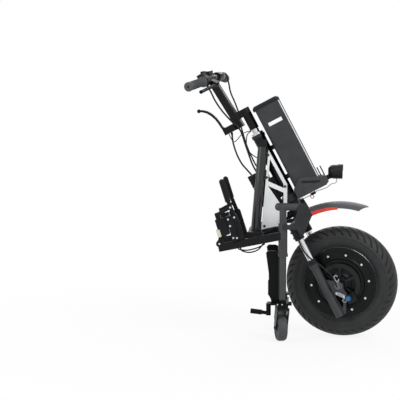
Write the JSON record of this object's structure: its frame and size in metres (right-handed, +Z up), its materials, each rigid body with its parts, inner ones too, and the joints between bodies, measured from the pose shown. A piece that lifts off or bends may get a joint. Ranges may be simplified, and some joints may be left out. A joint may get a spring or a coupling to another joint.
{
  "type": "wheelchair power assist",
  "caption": "Clip-on front drive with a hub-motor wheel in a sprung fork, handlebar, slanted battery, docking clamps and drop-down stands with casters.",
  "frame": {"origin": "on the ground, at the middle of the bounding box in X and Y", "axes": "+X forward, +Y to the rider's left, +Z up"},
  "size_m": [0.8007, 0.5466, 1.0259],
  "materials": {
    "black_metal": "satin black paint",
    "black_alloy": "satin black coat",
    "leg_metal": "satin dark grey paint",
    "panel_metal": "satin silver",
    "bright_metal": "polished",
    "brake_steel": "brushed",
    "brake_body": "grey anodised",
    "brake_cap": "blue anodised",
    "hub_metal": "black anodised",
    "stator_copper": "copper windings",
    "case_plastic": "fine-grained charcoal",
    "tray_plastic": "moulded grey",
    "trim_plastic": "black",
    "guard_plastic": "dark grey",
    "lens": "clear",
    "grip_rubber": "soft ribbed",
    "tyre_rubber": "treaded",
    "caster_rubber": "smooth grey",
    "cable_sheath": "satin"
  },
  "bodies": {
    "frame": {"head_tube": "black_metal", "headset": "bright_metal", "uprights": "black_metal", "cross_beam": "black_alloy", "dock_arms": "black_alloy", "side_panels": "panel_metal", "frame_screws": "bright_metal", "controller_box": "case_plastic", "battery_tray": "tray_plastic", "battery_rail": "black_metal", "headlamp_body": "trim_plastic", "headlamp_lens": "lens", "stand_sleeves": "black_metal", "guard_plates": "black_metal", "dock_brackets": "black_alloy", "arm_cable": "cable_sheath"},
    "steering": {"steerer": "bright_metal", "stem_clamp": "black_alloy", "stem_riser": "black_alloy", "handlebar": "black_metal", "left_grip": "grip_rubber", "throttle_housing": "trim_plastic", "display_unit": "trim_plastic", "lever_perch": "black_alloy", "stem_lever_perch": "black_alloy", "fork_crown": "black_alloy", "stanchions": "bright_metal", "mudguard": "guard_plastic", "control_cables": "cable_sheath"},
    "fork_lowers": {"lower_legs": "leg_metal", "fork_seals": "trim_plastic", "axle": "bright_metal", "axle_nuts": "bright_metal", "stator": "stator_copper", "brake_caliper": "brake_body", "caliper_cap": "brake_cap", "motor_lead": "cable_sheath"},
    "wheel": {"tyre": "tyre_rubber", "wheel_rim": "hub_metal", "hub_covers": "hub_metal", "cover_screws": "bright_metal", "magnet_ring": "bright_metal", "hub_bearings": "bright_metal", "brake_rotor": "brake_steel"},
    "throttle": {"throttle_grip": "grip_rubber"},
    "brake_lever": {"brake_lever": "black_alloy"},
    "stem_brake_lever": {"stem_brake_lever": "black_alloy"},
    "battery": {"battery_case": "case_plastic", "battery_cap": "case_plastic"},
    "right_stand": {"right_stand": "black_alloy"},
    "left_stand": {"left_stand": "black_alloy"},
    "right_caster_fork": {"right_caster_fork": "black_metal"},
    "left_caster_fork": {"left_caster_fork": "black_metal"},
    "right_caster_wheel": {"right_caster_wheel": "caster_rubber"},
    "left_caster_wheel": {"left_caster_wheel": "caster_rubber"},
    "right_clamp_lever": {"right_clamp_lever": "black_alloy"},
    "left_clamp_lever": {"left_clamp_lever": "black_alloy"},
    "right_clamp_jaw": {"right_clamp_jaw": "black_alloy"},
    "left_clamp_jaw": {"left_clamp_jaw": "black_alloy"}
  },
  "joints": [
    {"name": "steering", "type": "hinge", "parent": "frame", "child": "steering", "pos_m": [0.1579, -0.01296, 0.21491], "axis": [-0.4633, 0, 0.8862], "range_deg": [-17, 43], "deforming": ["control_cables"]},
    {"name": "fork_travel", "type": "slide", "parent": "steering", "child": "fork_lowers", "axis": [-0.4633, 0, 0.8862], "range_m": [0, 0.04], "stiffness_N_per_m": 12000, "springref_m": -0.02, "deforming": ["motor_lead"]},
    {"name": "wheel_spin", "type": "hinge", "parent": "fork_lowers", "child": "wheel", "pos_m": [0.18828, -0.01914, 0.21458], "axis": [0.1994, 0.9744, 0.1042], "continuous": true},
    {"name": "brake_squeeze", "type": "hinge", "parent": "steering", "child": "brake_lever", "pos_m": [-0.29463, -0.12507, 0.9679], "axis": [-0.3175, 0.3237, -0.8913], "range_deg": [0, 10], "stiffness_Nm_per_rad": 1.5, "springref_deg": -8.59},
    {"name": "stem_brake_squeeze", "type": "hinge", "parent": "steering", "child": "stem_brake_lever", "pos_m": [-0.25727, -0.01018, 0.79114], "axis": [0.1994, 0.9744, 0.1042], "range_deg": [0, 14], "stiffness_Nm_per_rad": 1.5, "springref_deg": -8.59},
    {"name": "throttle_twist", "type": "hinge", "parent": "steering", "child": "throttle", "pos_m": [-0.36058, -0.20375, 0.96281], "axis": [-0.3745, -0.9063, -0.1958], "range_deg": [0, 70], "stiffness_Nm_per_rad": 0.25, "springref_deg": -5.73},
    {"name": "right_stand_slide", "type": "slide", "parent": "frame", "child": "right_stand", "axis": [0, 0, 1], "range_m": [0, 0.08]},
    {"name": "right_caster_swivel", "type": "hinge", "parent": "right_stand", "child": "right_caster_fork", "pos_m": [-0.0381, -0.16296, 0.125], "axis": [0, 0, 1], "continuous": true},
    {"name": "right_caster_spin", "type": "hinge", "parent": "right_caster_fork", "child": "right_caster_wheel", "pos_m": [-0.04434, -0.13362, 0.05], "axis": [-0.9781, -0.2079, 0], "continuous": true},
    {"name": "left_stand_slide", "type": "slide", "parent": "frame", "child": "left_stand", "axis": [0, 0, 1], "range_m": [0, 0.08]},
    {"name": "left_caster_swivel", "type": "hinge", "parent": "left_stand", "child": "left_caster_fork", "pos_m": [-0.0381, 0.13704, 0.125], "axis": [0, 0, 1], "continuous": true},
    {"name": "left_caster_spin", "type": "hinge", "parent": "left_caster_fork", "child": "left_caster_wheel", "pos_m": [-0.04434, 0.1077, 0.05], "axis": [-0.9781, 0.2079, 0], "continuous": true},
    {"name": "right_clamp_lever_swing", "type": "hinge", "parent": "frame", "child": "right_clamp_lever", "pos_m": [-0.21935, -0.16296, 0.46907], "axis": [0, 1, 0], "range_deg": [0, 75]},
    {"name": "right_clamp_jaw_swing", "type": "hinge", "parent": "frame", "child": "right_clamp_jaw", "pos_m": [-0.27471, -0.16296, 0.36953], "axis": [0, -1, 0], "range_deg": [0, 35.2]},
    {"name": "left_clamp_lever_swing", "type": "hinge", "parent": "frame", "child": "left_clamp_lever", "pos_m": [-0.21935, 0.13704, 0.46907], "axis": [0, 1, 0], "range_deg": [0, 75]},
    {"name": "left_clamp_jaw_swing", "type": "hinge", "parent": "frame", "child": "left_clamp_jaw", "pos_m": [-0.27471, 0.13704, 0.36953], "axis": [0, -1, 0], "range_deg": [0, 35.2]},
    {"name": "battery_lift", "type": "slide", "parent": "frame", "child": "battery", "axis": [-0.4633, 0, 0.8862], "range_m": [0, 0.35]}
  ],
  "couplings": [
    {"joint": "right_clamp_jaw_swing", "follows": "right_clamp_lever_swing", "ratio": 0.4667},
    {"joint": "left_clamp_jaw_swing", "follows": "left_clamp_lever_swing", "ratio": 0.4667}
  ]
}
